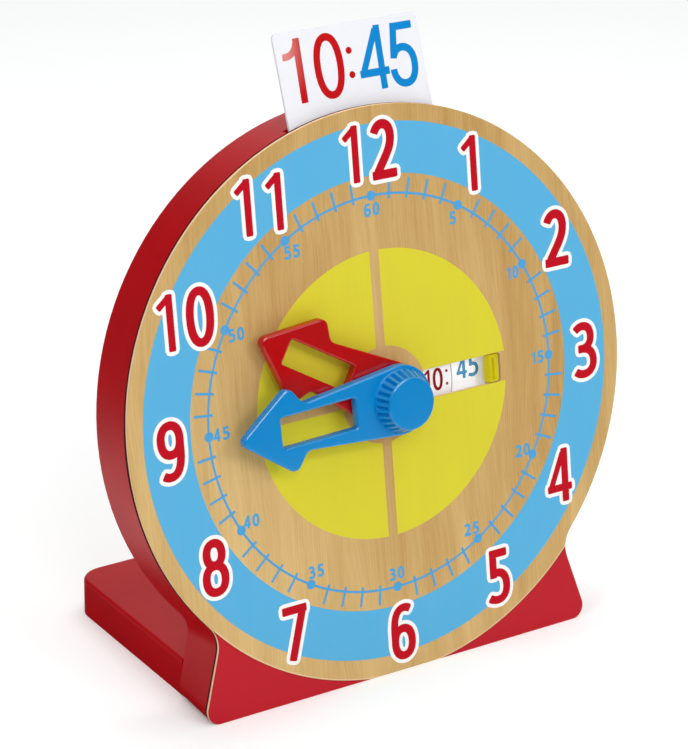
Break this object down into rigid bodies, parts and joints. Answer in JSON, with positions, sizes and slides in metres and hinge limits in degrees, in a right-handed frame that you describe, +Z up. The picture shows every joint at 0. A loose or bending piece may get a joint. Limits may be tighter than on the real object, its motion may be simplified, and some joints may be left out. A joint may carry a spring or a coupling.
{
  "type": "geared teaching clock",
  "caption": "Standing teaching clock: round dial on a hollow case with a foot board, geared hour and minute hands, time window with shutter, and a card slot on top.",
  "frame": {"origin": "on the table, in the middle of the footprint between the dial's lower front edge and the foot board's rear edge", "axes": "+Z up, +Y from the dial towards the back, +X to the right as the dial is read"},
  "size_m": [0.235, 0.1229, 0.2625],
  "materials": {
    "dial_board": "clear satin varnish over light plywood, printed dial, red painted base",
    "red_paint": "red gloss paint over wood",
    "back_board": "bare hardboard, smooth face out",
    "bare_wood": "bare beech",
    "red_plastic": "moulded red, satin gloss",
    "blue_plastic": "moulded blue, satin gloss",
    "yellow_plastic": "moulded yellow, satin gloss",
    "gear_plastic": "moulded natural acetal",
    "white_board": "white printed sheet, satin",
    "card_stock": "white laminated card, satin",
    "steel": "turned bright steel",
    "brass": "turned brass"
  },
  "bodies": {
    "case": {"face_plate": "dial_board", "case_body": "red_paint", "back_cover": "back_board", "cover_screws": "steel", "foot_board": "red_paint", "foot_dowels": "bare_wood", "front_bush": "brass", "rear_bush": "brass", "hand_washer": "gear_plastic", "shutter_guide": "gear_plastic", "intermediate_stud": "steel", "stud_cap": "steel"},
    "minute_arbor": {"minute_shaft": "steel", "minute_pinion": "gear_plastic", "minute_disc": "white_board", "minute_hub": "gear_plastic", "hub_grub_screw": "steel", "shaft_clip": "steel", "shaft_washer": "gear_plastic", "minute_hand": "blue_plastic", "minute_knob": "blue_plastic"},
    "intermediate_arbor": {"intermediate_gear": "gear_plastic"},
    "hour_drive": {"hour_wheel": "gear_plastic", "wheel_sleeve": "brass", "clutch_clip": "steel"},
    "hour_display": {"hour_hand": "red_plastic", "hour_tube": "gear_plastic", "hour_disc": "white_board", "clutch_washer": "steel"},
    "shutter": {"window_shutter": "yellow_plastic"},
    "card": {"time_card": "card_stock"}
  },
  "joints": [
    {"name": "minute_turn", "type": "hinge", "parent": "case", "child": "minute_arbor", "pos_m": [0, -0.04147, 0.11675], "axis": [0, 0.9877, -0.1564], "continuous": true},
    {"name": "intermediate_turn", "type": "hinge", "parent": "case", "child": "intermediate_arbor", "pos_m": [-0.04, -0.04147, 0.11675], "axis": [0, 0.9877, -0.1564], "continuous": true},
    {"name": "hour_turn", "type": "hinge", "parent": "case", "child": "hour_drive", "pos_m": [0, -0.04147, 0.11675], "axis": [0, 0.9877, -0.1564], "continuous": true},
    {"name": "hour_hand_set", "type": "hinge", "parent": "hour_drive", "child": "hour_display", "pos_m": [0, -0.04147, 0.11675], "axis": [0, 0.9877, -0.1564], "continuous": true},
    {"name": "shutter_slide", "type": "slide", "parent": "case", "child": "shutter", "axis": [-1, 0, 0], "range_m": [0, 0.0304]},
    {"name": "card_lift", "type": "slide", "parent": "case", "child": "card", "axis": [0, 0.3681, 0.9298], "range_m": [0, 0.012]}
  ],
  "couplings": [
    {"joint": "intermediate_turn", "follows": "minute_turn", "ratio": -0.33333},
    {"joint": "hour_turn", "follows": "minute_turn", "ratio": 0.083333}
  ]
}
